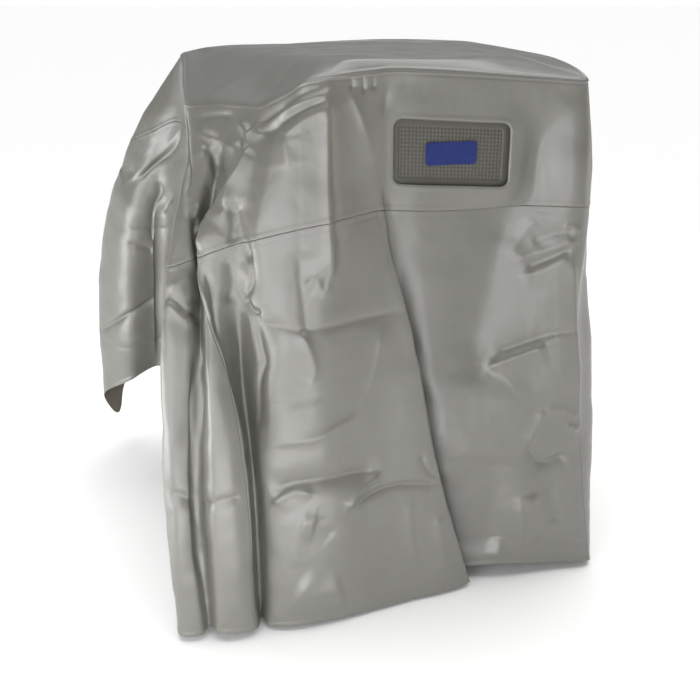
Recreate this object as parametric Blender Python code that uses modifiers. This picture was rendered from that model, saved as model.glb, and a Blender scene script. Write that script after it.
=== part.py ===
"""Loose cover for an outdoor condenser unit, hanging over the unit as a box of coated cloth.

Metres, +Z up. The front wall faces -Y. The origin is under the middle of the top panel, where the
cover rests on the unit. The walls are lofted through named folds: each row of FOLDS is one fold
line, followed from the top seam down to the hem. Rows go round the cover clockwise, seen from above.
"""

import math
from collections import namedtuple

import bmesh
import bpy
import numpy as np
from mathutils import Vector

NAME = "condenser_cover"
MM = 0.001

CLOTH = 0.0025  # thickness of the coated cloth with its backing
SEAM_GAP = 0.0008  # between two pieces that a seam joins
TOP_SEAM_DROP = 0.0030  # the walls start this far below the edge of the top panel
CROWN = 0.040  # height of the middle of the top over the front right corner of its seam
DATUM = CLOTH - CROWN  # height of that corner over the origin

# How far down the skirt the knee and the low fold places lie, from the mid seam to the hem
KNEE_SHARE = 0.29
LOW_SHARE = 0.62

Fold = namedtuple("Fold", "name top mid knee low hem")

# Places in millimetres. Top seam, mid seam and hem are (x, y, z), knee and low are (x, y).
# Heights count from the front right corner of the top seam.
FOLD_ROWS = (
    ("front right corner", (292, -290, 2), (304, -297, -201), (290, -300), (333, -306), (373, -314, -900)),
    ("front right", (217, -290, 6), (232, -295, -199), (225, -304), (251, -308), (280, -315, -889)),
    ("front middle", (107, -290, 14), (118, -292, -201), (126, -301), (156, -306), (192, -313, -880)),
    ("beside the pleat", (10, -290, 20), (19, -292, -197), (39, -293), (82, -295), (118, -297, -885)),
    ("pleat valley", (-40, -287, 21), (-34, -286, -194), (-8, -275), (26, -272), (60, -274, -888)),
    ("pleat crest", (-63, -291, 19), (-53, -300, -191), (2, -316), (49, -319), (127, -320, -901)),
    ("panel right", (-100, -291, 16), (-95, -306, -195), (-85, -330), (-49, -336), (-8, -340, -905)),
    ("panel ridge", (-134, -290, 13), (-141, -316, -199), (-184, -345), (-158, -351), (-140, -362, -903)),
    ("panel left", (-168, -283, 7), (-201, -318, -211), (-236, -336), (-228, -351), (-230, -365, -902)),
    ("panel turn", (-187, -266, -8), (-254, -305, -225), (-260, -317), (-259, -336), (-259, -352, -905)),
    ("corner valley", (-204, -243, -20), (-276, -286, -233), (-282, -286), (-272, -312), (-272, -327, -903)),
    ("left corner", (-223, -220, -32), (-337, -262, -258), (-311, -331), (-292, -351), (-288, -366, -898)),
    ("lobe left", (-244, -190, -34), (-331, -232, -262), (-338, -336), (-344, -359), (-345, -368, -894)),
    ("lobe valley", (-262, -160, -35), (-324, -205, -264), (-350, -302), (-368, -323), (-364, -339, -896)),
    ("outer right", (-282, -130, -36), (-349, -240, -268), (-367, -313), (-382, -336), (-381, -354, -900)),
    ("outer left", (-305, -100, -40), (-386, -240, -276), (-411, -296), (-421, -316), (-415, -345, -901)),
    ("left wall front", (-327, -60, -43), (-352, -175, -250), (-378, -225), (-394, -250), (-400, -272, -882)),
    ("left wall middle", (-325, 40, -33), (-308, -45, -215), (-318, -90), (-328, -110), (-340, -120, -860)),
    ("left wall rear", (-319, 130, -14), (-300, 110, -165), (-312, 110), (-322, 110), (-338, 110, -820)),
    ("sleeve root", (-312, 210, 6), (-326, 245, -108), (-368, 300), (-388, 360), (-398, 385, -688)),
    ("sleeve front", (-308, 255, 16), (-380, 288, -134), (-436, 318), (-458, 345), (-468, 366, -712)),
    ("rear left corner", (-304, 290, 22), (-421, 337, -156), (-488, 392), (-523, 425), (-531, 430, -768)),
    ("sleeve tip", (-285, 300, 23), (-405, 362, -162), (-478, 418), (-514, 455), (-506, 466, -836)),
    ("sleeve back", (-240, 302, 25), (-350, 366, -176), (-430, 428), (-460, 460), (-455, 476, -712)),
    ("rear left", (-170, 300, 30), (-235, 335, -190), (-315, 380), (-348, 398), (-352, 412, -702)),
    ("rear middle", (-60, 298, 38), (-80, 315, -190), (-100, 338), (-110, 352), (-115, 366, -868)),
    ("rear right", (110, 297, 44), (114, 312, -182), (120, 334), (126, 350), (132, 366, -890)),
    ("rear right corner", (286, 290, 40), (300, 302, -180), (318, 316), (342, 334), (364, 354, -898)),
    ("right wall rear", (292, 150, 38), (305, 154, -185), (324, 158), (348, 164), (371, 172, -900)),
    ("right wall middle", (293, 0, 34), (303, -4, -195), (316, -2), (338, -2), (362, -4, -905)),
    ("right wall front", (294, -170, 27), (306, -172, -198), (334, -160), (360, -165), (381, -175, -907)),
    ("right wall bulge", (295, -262, 12), (314, -276, -205), (353, -264), (377, -273), (386, -293, -907)),
)
FOLDS = [Fold(*row) for row in FOLD_ROWS]

ROW = {fold.name: i for i, fold in enumerate(FOLDS)}

# Seams between the walls, at these rows of the table
FRONT_RIGHT_SEAM = ROW["front right corner"]
FRONT_LEFT_SEAM = ROW["left corner"]
REAR_LEFT_SEAM = ROW["rear left corner"]
REAR_RIGHT_SEAM = ROW["rear right corner"]

# Heights as steps down a fold: each whole number is one of its places
TOP_SEAM, MID_SEAM, HEM = 0.0, 1.0, 4.0

Wall = namedtuple("Wall", "name start end steps_per_fold")
WALLS = (
    Wall("front", FRONT_RIGHT_SEAM, FRONT_LEFT_SEAM, 4),
    Wall("left", FRONT_LEFT_SEAM, REAR_LEFT_SEAM, 4),
    Wall("rear", REAR_LEFT_SEAM, REAR_RIGHT_SEAM, 3),
    Wall("right", REAR_RIGHT_SEAM, FRONT_RIGHT_SEAM + len(FOLDS), 3),
)
BAND_STEPS = 5
SKIRT_STEPS = 12
NORMAL_STEP = 0.08  # how far along and down the folds the cloth's slope is measured
SHARP_ANGLE = math.radians(60)

# Top panel: rings from the seam to the middle, and where its slope to the drooping corner starts
TOP_RINGS = 6
TOP_STEPS_PER_FOLD = 3
TOP_SLOPE_START = 0.45
TOP_SLOPE_POWER = 1.25

# Window in the front band, on the wall: middle, size and corner radius
WINDOW_X = 0.068
WINDOW_Z = -0.146
WINDOW_WIDTH = 0.192
WINDOW_HEIGHT = 0.100
WINDOW_RADIUS = 0.013
WINDOW_SLANT = -0.013  # the right end hangs lower than the left one by this much

INSERT_MARGIN = 0.009  # the moulded insert reaches this far past the window, behind the cloth
INSERT_THICKNESS = 0.0020
INSERT_GAP = 0.0010

PLATE_WIDTH = 0.086
PLATE_HEIGHT = 0.036
PLATE_RADIUS = 0.006
PLATE_THICKNESS = 0.0012
PLATE_GAP = 0.0003

COATED_GREY = (0.225, 0.222, 0.196)
WINDOW_GREY = (0.085, 0.082, 0.068)
PLATE_BLUE = (0.012, 0.022, 0.120)


def clear_scene():
    for thing in list(bpy.data.objects):
        bpy.data.objects.remove(thing, do_unlink=True)


def new_collection(name):
    collection = bpy.data.collections.new(name)
    bpy.context.scene.collection.children.link(collection)
    return collection


def make_material(name, colour, roughness, metallic=0.0):
    material = bpy.data.materials.new(name)
    material.use_nodes = True
    shader = material.node_tree.nodes["Principled BSDF"]
    shader.inputs["Base Color"].default_value = (*colour, 1.0)
    shader.inputs["Roughness"].default_value = roughness
    shader.inputs["Metallic"].default_value = metallic
    return material


def make_object(name, mesh, material, collection):
    thing = bpy.data.objects.new(name, mesh)
    mesh.materials.append(material)
    collection.objects.link(thing)
    return thing


def fold_places():
    """Each fold's five places, as an array of (fold, place, xyz) in metres."""
    places = []
    for fold in FOLDS:
        skirt_drop = fold.hem[2] - fold.mid[2]
        knee = (*fold.knee, fold.mid[2] + KNEE_SHARE * skirt_drop)
        low = (*fold.low, fold.mid[2] + LOW_SHARE * skirt_drop)
        places.append((fold.top, fold.mid, knee, low, fold.hem))
    return np.array(places, float) * MM + np.array((0.0, 0.0, DATUM))


PLACES = fold_places()


def smooth_through(before, start, end, after, share):
    """A point between start and end, on a curve that also passes before and after."""
    knots = [0.0]
    for a, b in ((before, start), (start, end), (end, after)):
        knots.append(knots[-1] + max(np.linalg.norm(b - a), 1e-6) ** 0.5)
    t0, t1, t2, t3 = knots
    t = t1 + share * (t2 - t1)
    a1 = ((t1 - t) * before + (t - t0) * start) / (t1 - t0)
    a2 = ((t2 - t) * start + (t - t1) * end) / (t2 - t1)
    a3 = ((t3 - t) * end + (t - t2) * after) / (t3 - t2)
    b1 = ((t2 - t) * a1 + (t - t0) * a2) / (t2 - t0)
    b2 = ((t3 - t) * a2 + (t - t1) * a3) / (t3 - t1)
    return ((t2 - t) * b1 + (t - t1) * b2) / (t2 - t1)


def fold_ring(height):
    """The points of all folds at one height step."""
    step = min(int(height), PLACES.shape[1] - 2)
    share = height - step
    start, end = PLACES[:, step], PLACES[:, step + 1]
    before = PLACES[:, step - 1] if step > 0 else 2 * start - end
    after = PLACES[:, step + 2] if step + 2 < PLACES.shape[1] else 2 * end - start
    return np.array([smooth_through(*row, share) for row in zip(before, start, end, after)])


def along_ring(ring, place):
    """The point at a place along a closed ring of fold points."""
    count = len(ring)
    row = math.floor(place)
    around = [ring[(row + k) % count] for k in (-1, 0, 1, 2)]
    return smooth_through(*around, place - row)


def outward(rings, place):
    """The unit normal of the cloth's outer side, from the rings just above, at and just below."""
    above, here, below = rings
    across = along_ring(here, place + NORMAL_STEP) - along_ring(here, place - NORMAL_STEP)
    down = along_ring(below, place) - along_ring(above, place)
    normal = np.cross(across, down)
    return normal / np.linalg.norm(normal)


def cloth_rows(places, heights):
    """Rows of points on the outer and the inner side of the cloth."""
    outer, inner = [], []
    for height in heights:
        above = max(TOP_SEAM, height - NORMAL_STEP)
        below = min(HEM, height + NORMAL_STEP)
        rings = fold_ring(above), fold_ring(height), fold_ring(below)
        points = np.array([along_ring(rings[1], place) for place in places])
        normals = np.array([outward(rings, place) for place in places])
        outer.append(points)
        inner.append(points - CLOTH * normals)
    return np.array(outer), np.array(inner)


def hold_back(rows, upper, lower, sides):
    """Moves the edges of a grid of points inwards, by distances along the grid."""
    moves = (
        (rows[0], rows[1], upper),
        (rows[-1], rows[-2], lower),
        (rows[:, 0], rows[:, 1], sides),
        (rows[:, -1], rows[:, -2], sides),
    )
    for edge, neighbour, distance in moves:
        toward = neighbour - edge
        length = np.linalg.norm(toward, axis=1, keepdims=True)
        edge += toward * (distance / length)


def add_grid(bm, rows, flip):
    """A grid of faces through rows of points, and its corner vertices by row."""
    grid = [[bm.verts.new(point) for point in row] for row in rows]
    for upper, lower in zip(grid, grid[1:]):
        for k in range(len(upper) - 1):
            corners = (upper[k], upper[k + 1], lower[k + 1], lower[k])
            bm.faces.new(corners[::-1] if flip else corners)
    return grid


def rim(grid):
    """The vertices round the edge of a grid, in order."""
    right = [row[-1] for row in grid[1:]]
    left = [row[0] for row in grid[-2:0:-1]]
    return grid[0] + right + grid[-1][-2::-1] + left


def sheet_mesh(name, outer, inner):
    """A closed sheet between two grids of points."""
    mesh = bpy.data.meshes.new(name)
    bm = bmesh.new()
    outer_rim = rim(add_grid(bm, outer, flip=False))
    inner_rim = rim(add_grid(bm, inner, flip=True))
    count = len(outer_rim)
    for k in range(count):
        after = (k + 1) % count
        bm.faces.new((outer_rim[after], outer_rim[k], inner_rim[k], inner_rim[after]))
    bm.to_mesh(mesh)
    bm.free()
    mesh.shade_smooth()
    mesh.set_sharp_from_angle(angle=SHARP_ANGLE)
    return mesh


def make_wall_piece(name, wall, upper, lower, steps, upper_gap, lower_gap, material, collection):
    """One piece of one wall between two heights, held back from its seams."""
    count = (wall.end - wall.start) * wall.steps_per_fold
    places = np.linspace(wall.start, wall.end, count + 1)
    outer, inner = cloth_rows(places, np.linspace(upper, lower, steps + 1))
    for rows in (outer, inner):
        hold_back(rows, upper_gap, lower_gap, 0.5 * SEAM_GAP)
    return make_object(name, sheet_mesh(name, outer, inner), material, collection)


def make_band(wall, material, collection):
    name = "band_" + wall.name
    gaps = TOP_SEAM_DROP, 0.5 * SEAM_GAP
    return make_wall_piece(name, wall, TOP_SEAM, MID_SEAM, BAND_STEPS, *gaps, material, collection)


def make_skirt(wall, material, collection):
    name = "skirt_" + wall.name
    gaps = 0.5 * SEAM_GAP, 0.0
    return make_wall_piece(name, wall, MID_SEAM, HEM, SKIRT_STEPS, *gaps, material, collection)


def top_height(edge, share):
    """Height of the top panel at a share of the way from its middle to a point of its edge."""
    slope = max(0.0, (share - TOP_SLOPE_START) / (1.0 - TOP_SLOPE_START)) ** TOP_SLOPE_POWER
    return CLOTH + slope * (edge[2] - CLOTH)


def make_top(material, collection):
    seam = fold_ring(TOP_SEAM)
    count = len(FOLDS) * TOP_STEPS_PER_FOLD
    edge = [along_ring(seam, k / TOP_STEPS_PER_FOLD) for k in range(count)]
    mesh = bpy.data.meshes.new("top_panel")
    bm = bmesh.new()
    middle = bm.verts.new((0.0, 0.0, CLOTH))
    inner = None
    for ring in range(1, TOP_RINGS + 1):
        share = ring / TOP_RINGS
        outer = [bm.verts.new((p[0] * share, p[1] * share, top_height(p, share))) for p in edge]
        for k in range(count):
            after = (k + 1) % count
            if inner is None:
                bm.faces.new((middle, outer[after], outer[k]))
            else:
                bm.faces.new((inner[k], inner[after], outer[after], outer[k]))
        inner = outer
    bm.to_mesh(mesh)
    bm.free()
    mesh.shade_smooth()
    panel = make_object("top_panel", mesh, material, collection)
    solid = panel.modifiers.new("cloth", "SOLIDIFY")
    solid.thickness = CLOTH
    solid.offset = -1.0
    return panel


def rounded_outline(name, width, height, radius, slant):
    """A flat rounded rectangle, as a curve in its own XY plane."""
    half_w, half_h = 0.5 * width, 0.5 * height
    corners = ((-half_w, -half_h, 180), (half_w, -half_h, 270), (half_w, half_h, 0), (-half_w, half_h, 90))
    points = []
    for x, y, turn in corners:
        middle = Vector((x - math.copysign(radius, x), y - math.copysign(radius, y)))
        for k in range(6):
            angle = math.radians(turn + 90 * k / 5)
            px = middle.x + radius * math.cos(angle)
            py = middle.y + radius * math.sin(angle) + slant * middle.x / width
            points.append((px, py, 0.0))
    curve = bpy.data.curves.new(name, "CURVE")
    curve.dimensions = "2D"
    curve.fill_mode = "BOTH"
    spline = curve.splines.new("POLY")
    spline.points.add(len(points) - 1)
    for point, place in zip(spline.points, points):
        point.co = (*place, 1.0)
    spline.use_cyclic_u = True
    return curve


def solid_from_curve(name, curve, extrude, material, collection):
    """A closed mesh object from a filled, extruded curve."""
    curve.extrude = extrude
    draft = bpy.data.objects.new(name + "_draft", curve)
    collection.objects.link(draft)
    evaluated = draft.evaluated_get(bpy.context.evaluated_depsgraph_get())
    mesh = bpy.data.meshes.new_from_object(evaluated)
    bpy.data.objects.remove(draft, do_unlink=True)
    bm = bmesh.new()
    bm.from_mesh(mesh)
    bmesh.ops.remove_doubles(bm, verts=bm.verts, dist=1e-5)
    bmesh.ops.recalc_face_normals(bm, faces=bm.faces)
    bm.to_mesh(mesh)
    bm.free()
    mesh.name = name
    return make_object(name, mesh, material, collection)


def front_depth(x, z):
    """How far forward the outer side of the front band is at x and z, by nearest sampled point."""
    best, depth = None, 0.0
    for height in np.linspace(TOP_SEAM, MID_SEAM, 21):
        ring = fold_ring(height)
        for place in np.linspace(ROW["front right corner"], ROW["pleat valley"], 61):
            point = along_ring(ring, place)
            distance = (point[0] - x) ** 2 + (point[2] - z) ** 2
            if best is None or distance < best:
                best, depth = distance, point[1]
    return depth


def cut_window(band, cutters, material):
    outline = rounded_outline("window_cutter", WINDOW_WIDTH, WINDOW_HEIGHT, WINDOW_RADIUS, WINDOW_SLANT)
    cutter = solid_from_curve("window_cutter", outline, 0.03, material, cutters)
    cutter.location = (WINDOW_X, front_depth(WINDOW_X, WINDOW_Z), WINDOW_Z)
    cutter.rotation_euler = (math.radians(90), 0.0, 0.0)
    cutter.hide_render = True
    cutter.display_type = "WIRE"
    cut = band.modifiers.new("window", "BOOLEAN")
    cut.object = cutter
    cut.operation = "DIFFERENCE"


def insert_face():
    """How far forward the insert's outer side is, behind the deepest part of the cloth there."""
    half_w = 0.5 * WINDOW_WIDTH + INSERT_MARGIN
    half_h = 0.5 * WINDOW_HEIGHT + INSERT_MARGIN
    corners = [(WINDOW_X + i * half_w, WINDOW_Z + j * half_h) for i in (-1, 0, 1) for j in (-1, 0, 1)]
    return max(front_depth(x, z) for x, z in corners) + CLOTH + INSERT_GAP


def make_insert(face, material, collection):
    """The moulded panel behind the window."""
    margin = 2 * INSERT_MARGIN
    size = WINDOW_WIDTH + margin, WINDOW_HEIGHT + margin
    outline = rounded_outline("window_insert", *size, WINDOW_RADIUS + INSERT_MARGIN, WINDOW_SLANT)
    insert = solid_from_curve("window_insert", outline, 0.5 * INSERT_THICKNESS, material, collection)
    insert.location = (WINDOW_X, face + 0.5 * INSERT_THICKNESS, WINDOW_Z)
    insert.rotation_euler = (math.radians(90), 0.0, 0.0)
    return insert


def make_plate(face, material, collection):
    """The blank nameplate on the insert."""
    outline = rounded_outline("nameplate", PLATE_WIDTH, PLATE_HEIGHT, PLATE_RADIUS, 0.0)
    plate = solid_from_curve("nameplate", outline, 0.5 * PLATE_THICKNESS, material, collection)
    plate.location = (WINDOW_X, face - 0.5 * PLATE_THICKNESS - PLATE_GAP, WINDOW_Z)
    plate.rotation_euler = (math.radians(90), 0.0, 0.0)
    return plate


def main():
    clear_scene()
    parts = new_collection(NAME)
    cutters = new_collection("cutters")
    cloth = make_material("coated_cloth", COATED_GREY, 0.42)
    dark = make_material("window_plastic", WINDOW_GREY, 0.55)
    blue = make_material("nameplate_enamel", PLATE_BLUE, 0.25)
    make_top(cloth, parts)
    for wall in WALLS:
        band = make_band(wall, cloth, parts)
        make_skirt(wall, cloth, parts)
        if wall.name == "front":
            cut_window(band, cutters, dark)
    face = insert_face()
    make_insert(face, dark, parts)
    make_plate(face, blue, parts)
    bpy.context.view_layer.update()


main()
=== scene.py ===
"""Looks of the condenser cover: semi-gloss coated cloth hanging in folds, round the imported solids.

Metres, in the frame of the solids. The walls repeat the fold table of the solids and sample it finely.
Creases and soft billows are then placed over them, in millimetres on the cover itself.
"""

import math
from collections import namedtuple

import bpy
import numpy as np
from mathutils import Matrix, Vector, noise


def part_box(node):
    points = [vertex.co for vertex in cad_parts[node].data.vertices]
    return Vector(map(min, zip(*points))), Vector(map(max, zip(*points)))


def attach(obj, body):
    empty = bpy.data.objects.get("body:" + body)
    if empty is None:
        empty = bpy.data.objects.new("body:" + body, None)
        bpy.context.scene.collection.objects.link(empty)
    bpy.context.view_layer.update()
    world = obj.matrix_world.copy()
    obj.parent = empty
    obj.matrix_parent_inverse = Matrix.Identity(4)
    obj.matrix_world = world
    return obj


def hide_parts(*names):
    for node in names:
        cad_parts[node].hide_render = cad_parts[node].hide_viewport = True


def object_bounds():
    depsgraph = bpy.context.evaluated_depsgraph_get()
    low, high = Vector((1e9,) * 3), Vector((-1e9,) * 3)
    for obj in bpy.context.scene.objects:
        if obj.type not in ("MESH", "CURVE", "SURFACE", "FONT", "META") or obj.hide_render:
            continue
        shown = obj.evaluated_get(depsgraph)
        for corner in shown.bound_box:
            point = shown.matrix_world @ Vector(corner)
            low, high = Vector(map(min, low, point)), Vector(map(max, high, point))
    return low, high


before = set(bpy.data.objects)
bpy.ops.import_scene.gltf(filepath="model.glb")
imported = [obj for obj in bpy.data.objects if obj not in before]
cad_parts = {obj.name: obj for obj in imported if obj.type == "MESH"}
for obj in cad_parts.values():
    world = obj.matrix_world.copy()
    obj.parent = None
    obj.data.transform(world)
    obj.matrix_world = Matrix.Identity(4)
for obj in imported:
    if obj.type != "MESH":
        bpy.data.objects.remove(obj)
CAD_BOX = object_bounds()
MM = 0.001

# Camera, in the frame of the solids: it stands just above the top and looks down at the window wall
PHOTO_SIZE = 700
FOCAL_PIXELS = 900.0
SENSOR_MM = 36.0
CAMERA_PITCH = math.radians(21.0)
CAMERA_TURN = math.radians(14.0)
CAMERA_PLACE = (-0.4388, -1.6504, 0.0750)
CAMERA_FAR = 2000.0  # the camera sees this far

CLOTH = 0.0025  # thickness of the solids' cloth
CROWN = 0.040  # the flat top stands this far above the front right corner of its seam
DATUM = CLOTH - CROWN  # the height from which the tables below count
KNEE_SHARE = 0.29  # how far down the skirt the knee lies
LOW_SHARE = 0.62  # the same for the low place

Fold = namedtuple("Fold", "name top mid knee low hem")

# The fold lines of the solids, in millimetres. Top seam, mid seam and hem are (x, y, z), the knee
# and the low place (x, y). Heights count from the front right corner of the top seam.
FOLD_ROWS = (
    ("front right corner", (292, -290, 2), (304, -297, -201), (290, -300), (333, -306), (373, -314, -900)),
    ("front right", (217, -290, 6), (232, -295, -199), (225, -304), (251, -308), (280, -315, -889)),
    ("front middle", (107, -290, 14), (118, -292, -201), (126, -301), (156, -306), (192, -313, -880)),
    ("beside the pleat", (10, -290, 20), (19, -292, -197), (39, -293), (82, -295), (118, -297, -885)),
    ("pleat valley", (-40, -287, 21), (-34, -286, -194), (-8, -275), (26, -272), (60, -274, -888)),
    ("pleat crest", (-63, -291, 19), (-53, -300, -191), (2, -316), (49, -319), (127, -320, -901)),
    ("panel right", (-100, -291, 16), (-95, -306, -195), (-85, -330), (-49, -336), (-8, -340, -905)),
    ("panel ridge", (-134, -290, 13), (-141, -316, -199), (-184, -345), (-158, -351), (-140, -362, -903)),
    ("panel left", (-168, -283, 7), (-201, -318, -211), (-236, -336), (-228, -351), (-230, -365, -902)),
    ("panel turn", (-187, -266, -8), (-254, -305, -225), (-260, -317), (-259, -336), (-259, -352, -905)),
    ("corner valley", (-204, -243, -20), (-276, -286, -233), (-282, -286), (-272, -312), (-272, -327, -903)),
    ("left corner", (-223, -220, -32), (-337, -262, -258), (-311, -331), (-292, -351), (-288, -366, -898)),
    ("lobe left", (-244, -190, -34), (-331, -232, -262), (-338, -336), (-344, -359), (-345, -368, -894)),
    ("lobe valley", (-262, -160, -35), (-324, -205, -264), (-350, -302), (-368, -323), (-364, -339, -896)),
    ("outer right", (-282, -130, -36), (-349, -240, -268), (-367, -313), (-382, -336), (-381, -354, -900)),
    ("outer left", (-305, -100, -40), (-386, -240, -276), (-411, -296), (-421, -316), (-415, -345, -901)),
    ("left wall front", (-327, -60, -43), (-352, -175, -250), (-378, -225), (-394, -250), (-400, -272, -882)),
    ("left wall middle", (-325, 40, -33), (-308, -45, -215), (-318, -90), (-328, -110), (-340, -120, -860)),
    ("left wall rear", (-319, 130, -14), (-300, 110, -165), (-312, 110), (-322, 110), (-338, 110, -820)),
    ("sleeve root", (-312, 210, 6), (-326, 245, -108), (-368, 300), (-388, 360), (-398, 385, -688)),
    ("sleeve front", (-308, 255, 16), (-380, 288, -134), (-436, 318), (-458, 345), (-468, 366, -712)),
    ("rear left corner", (-304, 290, 22), (-421, 337, -156), (-488, 392), (-523, 425), (-531, 430, -768)),
    ("sleeve tip", (-285, 300, 23), (-405, 362, -162), (-478, 418), (-514, 455), (-506, 466, -836)),
    ("sleeve back", (-240, 302, 25), (-350, 366, -176), (-430, 428), (-460, 460), (-455, 476, -712)),
    ("rear left", (-170, 300, 30), (-235, 335, -190), (-315, 380), (-348, 398), (-352, 412, -702)),
    ("rear middle", (-60, 298, 38), (-80, 315, -190), (-100, 338), (-110, 352), (-115, 366, -868)),
    ("rear right", (110, 297, 44), (114, 312, -182), (120, 334), (126, 350), (132, 366, -890)),
    ("rear right corner", (286, 290, 40), (300, 302, -180), (318, 316), (342, 334), (364, 354, -898)),
    ("right wall rear", (292, 150, 38), (305, 154, -185), (324, 158), (348, 164), (371, 172, -900)),
    ("right wall middle", (293, 0, 34), (303, -4, -195), (316, -2), (338, -2), (362, -4, -905)),
    ("right wall front", (294, -170, 27), (306, -172, -198), (334, -160), (360, -165), (381, -175, -907)),
    ("right wall bulge", (295, -262, 12), (314, -276, -205), (353, -264), (377, -273), (386, -293, -907)),
)
FOLDS = [Fold(*row) for row in FOLD_ROWS]
ROW = {fold.name: i for i, fold in enumerate(FOLDS)}
ROWS = len(FOLDS)
TOP_SEAM, MID_SEAM, KNEE, LOW, HEM = 0.0, 1.0, 2.0, 3.0, 4.0  # the places as height steps

Wall = namedtuple("Wall", "name start end step flat_band flat_skirt")

# step is the size of a mesh cell in metres, and the flat sizes are those of the cut cloth
WALLS = (
    Wall("front", ROW["front right corner"], ROW["left corner"], 0.0031, (0.68, 0.21), (0.84, 0.71)),
    Wall("left", ROW["left corner"], ROW["rear left corner"], 0.0035, (0.68, 0.21), (0.95, 0.70)),
    Wall("rear", ROW["rear left corner"], ROW["rear right corner"], 0.0065, (0.72, 0.215), (0.90, 0.70)),
    Wall("right", ROW["rear right corner"], ROWS, 0.0060, (0.66, 0.21), (0.68, 0.71)),
)
FLAT_TOP = (0.68, 0.64)
SKIN = 0.0012  # thickness of the visual cloth
SEAM_ROLL = 0.0007  # a sewn edge rolls in by this much, over the same distance
TOP_ROLL = 0.0024  # the same for the seam round the top
SEAM_STEPS = (0.0, 0.0006, 0.0012, 0.0020, 0.0030, 0.0045, 0.0065, 0.0085, 0.0110)  # finer cells there
HEM_FOLD = 0.0085  # height of the folded hem, with its line of stitches
SEAM_ALLOWANCE = 0.0090
STITCH_DEPTH = 0.0004
STITCH_WIDTH = 0.0010
HEM_RAISE = 0.0006  # the doubled cloth of the hem stands out by this much
ALLOWANCE_RAISE = 0.0005  # the same for the seam allowance of a band
WELT_HEIGHT = 0.0012  # the welt just under the top seam, and its place and width below
WELT_PLACE = 0.0035
WELT_WIDTH = 0.0020
TOP_STITCH = 0.0065  # the line of stitches under the welt, deeper than the others
TOP_STITCH_DEEPER = 2.5
SEAM_CALM = 0.020  # creases reach their full height this far below the top seam
BAND_HEIGHT = 0.215  # for the spacing of the cells only
SKIRT_HEIGHT = 0.70

# The window in the front band, a rounded rectangle, and the moulded panel behind it
WINDOW_X = 0.068
WINDOW_Z = -0.146
WINDOW_WIDTH = 0.192
WINDOW_HEIGHT = 0.100
WINDOW_RADIUS = 0.013
WINDOW_SLANT = -0.013  # how far its right end stands above its left end
WINDOW_RIM = 0.0032  # grid points this near its outline are moved onto it
WINDOW_PLAIN = 0.004  # no creases this near it
WINDOW_CALM = 0.060  # over how much more their height grows to the full one
BEAD_HEIGHT = 0.0011  # the raised bead round it, and its distance and width
BEAD_PLACE = 0.0040
BEAD_WIDTH = 0.0030
RIM_DEPTH = 0.0012  # how far its edge turns in, and over what width
RIM_WIDTH = 0.0015
INSERT_MARGIN = 0.009
INSERT_BORDER = 0.0075  # the plain rim round its bumps, the slope inside that and the floor's depth
INSERT_SLOPE = 0.0025
INSERT_DEPTH = 0.0018
BUMP_PITCH = 0.0060
BUMP_HEIGHT = 0.0011

# The top: flat out to a share of the way to its edge, but less far at the front right corner and
# beyond the line on which it starts to sag to the front left corner
TOP_FLAT = 0.95
TOP_SOFT = 0.25  # how softly it bends down there
TOP_BLUR = 30  # over how many places to each side the start of the bend is smoothed
TOP_EDGE_SHARES = (0.045, 0.035, 0.026, 0.019, 0.014, 0.010, 0.007, 0.0045, 0.0022, 0.0)
SAG_START = np.array((-0.26, 0.27))
SAG_END = np.array((-0.107, -0.29))
SLOPE_PLACE = ROW["right wall bulge"] + 0.6
SLOPE_SHARE = 0.38
SLOPE_WIDTH = 1.5
TOP_CALM = 0.12  # the last share of the way out, where the unevenness dies out
TOP_SINK = 0.004  # apart from the unevenness, the top hangs this far below its solid's upper face
TOP_EDGE_DROP, TOP_EDGE_WIDTH = 0.0020, 0.0014  # the edge turns down into its seam
TOP_GROOVE, TOP_GROOVE_PLACE, TOP_GROOVE_WIDTH = 0.0016, 0.0070, 0.0012  # a groove of stitches inside it

# Random unevenness: the size of its waves and their height in metres, and the number that picks them
WALL_SLACK = ((0.12, 0.0035, 1), (0.05, 0.0016, 2), (0.022, 0.0005, 3))
TOP_SLACK = ((0.16, 0.006, 5), (0.06, 0.0034, 6))

CLOTH_DARK = (0.110, 0.108, 0.094)
CLOTH_LIGHT = (0.134, 0.132, 0.117)

FLOOR_REACH = 600.0
FLOOR_GAP = 0.004  # the floor lies this far below the solids
SKY = 0.28  # brightness of the studio well above the horizon
OVERHEAD_POWER = 2.55

Light = namedtuple("Light", "name place target size power colour", defaults=((1, 1, 1),))

# Places, targets and sizes are in metres, powers in watts
LIGHTS = (
    ("key", (-1.80, -2.00, -0.04), (-0.05, -0.2, -0.35), (1.45, 1.8), 29),
    ("front strip", (-0.55, -2.60, -0.08), (0.15, -0.3, -0.40), (0.45, 1.7), 11),
    ("left card", (-1.35, -0.15, -0.80), (-0.48, 0.34, -0.35), (1.0, 0.8), 13),
    ("front card", (-0.35, -0.86, -0.93), (-0.20, -0.35, -0.72), (0.8, 0.25), 2.6),
    ("rear strip", (1.5, 2.3, -0.52), (0.0, 0.3, -0.5), (0.8, 0.7), 10),
    ("side", (2.6, -0.5, 0.1), (0.3, 0.0, -0.4), (0.5, 1.6), 5, (1.0, 0.88, 0.70)),
)

WALL_ENDS = ("front right corner",)  # creases reach these corners at full height and die out past them
LINE_STEPS = 6  # points to each stretch of a crease's line
CREASE_BLUNT = 2.0  # a crease's crest is rounded within about this many mm

Crease = namedtuple("Crease", "name first last height left right points")

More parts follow.
